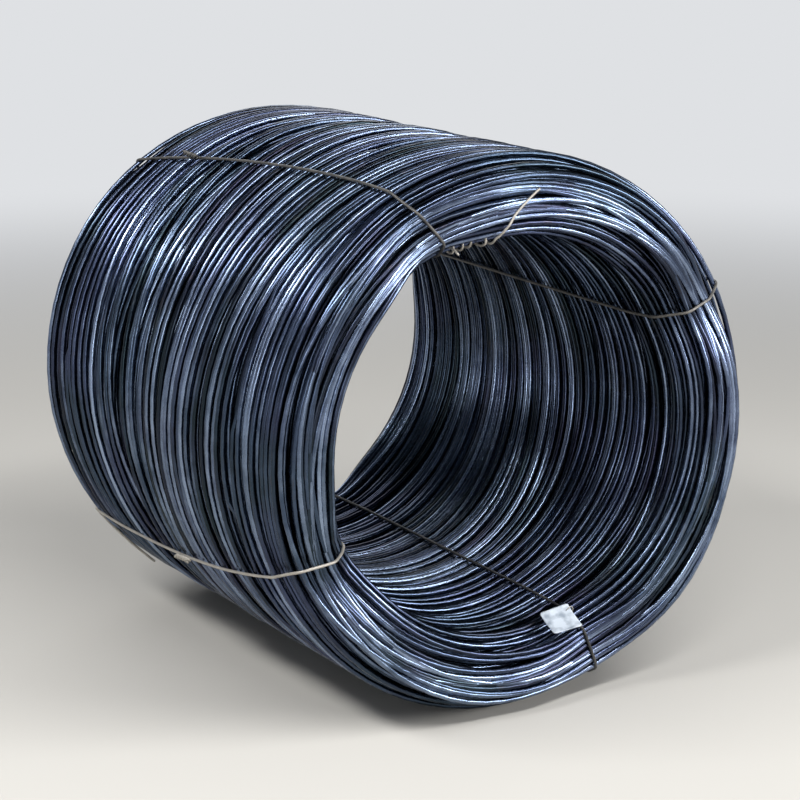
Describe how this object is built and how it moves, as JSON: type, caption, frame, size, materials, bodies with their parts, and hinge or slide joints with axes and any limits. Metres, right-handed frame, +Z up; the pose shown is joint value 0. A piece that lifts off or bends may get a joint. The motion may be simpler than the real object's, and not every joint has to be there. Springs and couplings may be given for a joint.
{
  "type": "coil of wire rod",
  "caption": "Coil of hot-rolled steel wire rod lying on its side: a thick ring of turns round an open bore, held by tie wires, with a blank tag.",
  "frame": {"origin": "on the ground below the middle of the coil, which is the bottom centre of its box", "axes": "+Y along the bore from the tagged end to the far end, +Z up, +X to the right as seen from the tagged end"},
  "size_m": [1.2504, 1.3, 1.25],
  "materials": {
    "wire_rod": "hot-rolled mill scale, dark blue-grey, half gloss",
    "tie_wire": "annealed wire, dull grey",
    "tag": "blank white film, matt"
  },
  "bodies": {
    "root": {"rod_coil": "wire_rod", "tie_wire_upper_right": "tie_wire", "tie_wire_upper_left": "tie_wire", "tie_wire_lower_left": "tie_wire", "tie_wire_lower_right": "tie_wire", "tag": "tag", "tag_wire": "tie_wire"}
  },
  "joints": []
}
